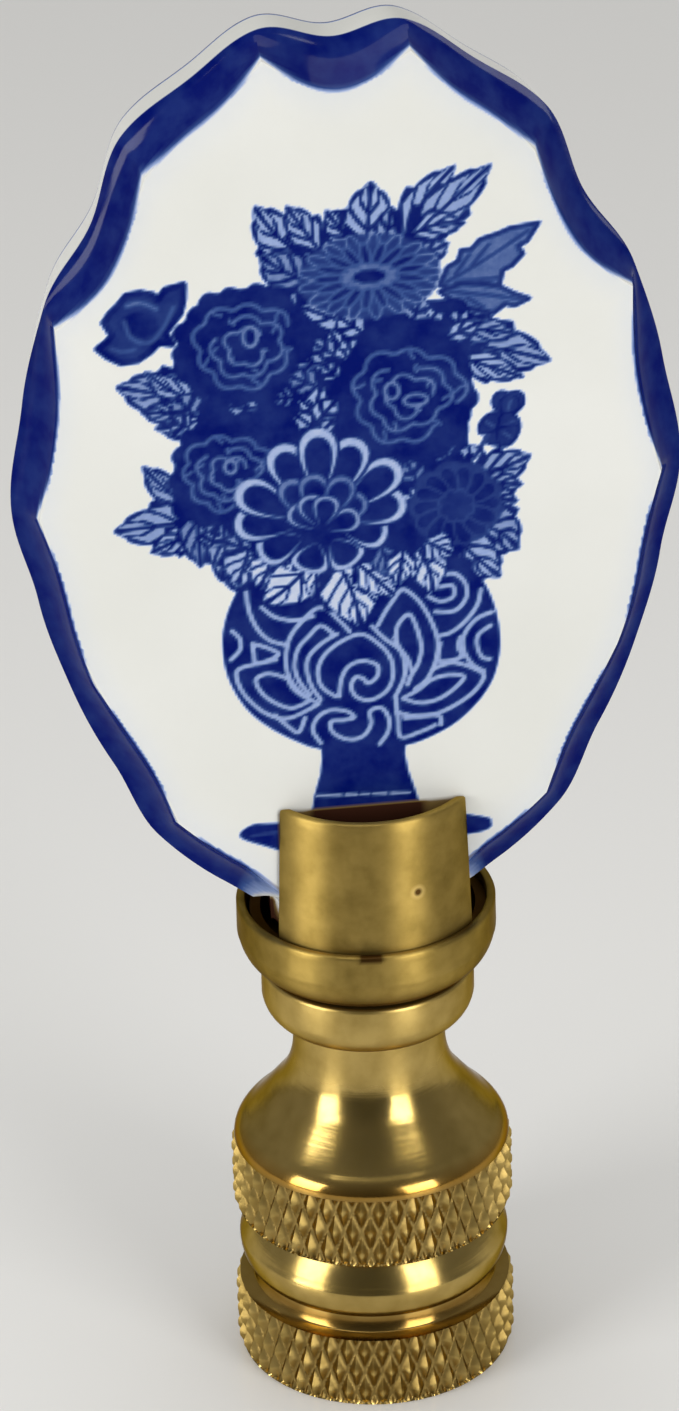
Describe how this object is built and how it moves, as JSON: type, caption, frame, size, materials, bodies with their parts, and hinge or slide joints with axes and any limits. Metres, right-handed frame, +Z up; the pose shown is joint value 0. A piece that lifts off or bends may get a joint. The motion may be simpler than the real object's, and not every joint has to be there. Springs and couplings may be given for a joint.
{
  "type": "lamp shade finial",
  "caption": "Lamp finial with a scalloped oval porcelain plaque in a slotted brass holder, on a dish and a knurled base with a blind stud hole.",
  "frame": {"origin": "centre of the base's flat underside, on the stud's axis", "axes": "+Z up along the stud's axis, -Y towards the painted front, +X to the viewer's right"},
  "size_m": [0.0288, 0.0128, 0.0655],
  "materials": {
    "porcelain": "glossy white glaze with a cobalt blue print and rim",
    "holder_brass": "satin polished, lightly tarnished",
    "dish_brass": "satin polished, lightly tarnished",
    "base_brass": "polished, knurled bands, lightly tarnished"
  },
  "bodies": {
    "root": {"porcelain_plaque": "porcelain", "slotted_holder": "holder_brass", "brass_dish": "dish_brass", "knurled_base": "base_brass"}
  },
  "joints": []
}
